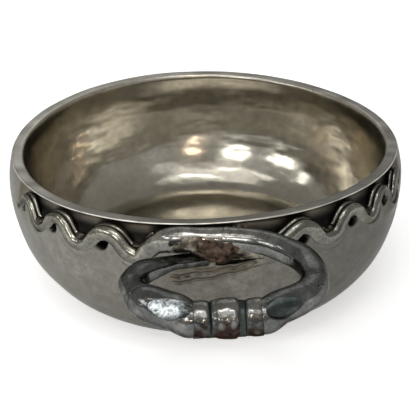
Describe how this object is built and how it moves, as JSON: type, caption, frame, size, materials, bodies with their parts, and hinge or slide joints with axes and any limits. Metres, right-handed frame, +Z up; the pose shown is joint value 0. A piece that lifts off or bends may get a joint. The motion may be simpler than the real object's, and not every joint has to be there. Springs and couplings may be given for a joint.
{
  "type": "wine taster",
  "caption": "Shallow round silver tasting bowl with a finger ring formed by entwined serpents whose tails ripple in a channel under the lip.",
  "frame": {"origin": "centre of the flat underside that the bowl stands on", "axes": "+Z up out of the bowl's mouth, -Y from the bowl's axis towards the finger ring, +X to the right seen from the ring's side"},
  "size_m": [0.0834, 0.1133, 0.0319],
  "materials": {
    "silver_bowl": "worn tarnished silver: satin and faintly pitted outside, polished with a warm haze inside, blackened in the channel",
    "silver_serpents": "dark glossy gunmetal-toned silver with pits and brown specks",
    "solder": "rough brown-grey solder with small bright specks"
  },
  "bodies": {
    "root": {"bowl": "silver_bowl", "knop_barrel": "silver_serpents", "knop_left_bead": "silver_serpents", "knop_right_bead": "silver_serpents", "left_serpent_neck": "silver_serpents", "left_serpent_tail": "silver_serpents", "right_serpent_neck": "silver_serpents", "right_serpent_tail": "silver_serpents", "solder_crossing": "solder", "solder_left_trough_1": "solder", "solder_left_trough_2": "solder", "solder_left_trough_3": "solder", "solder_right_trough_1": "solder", "solder_right_trough_2": "solder"}
  },
  "joints": []
}
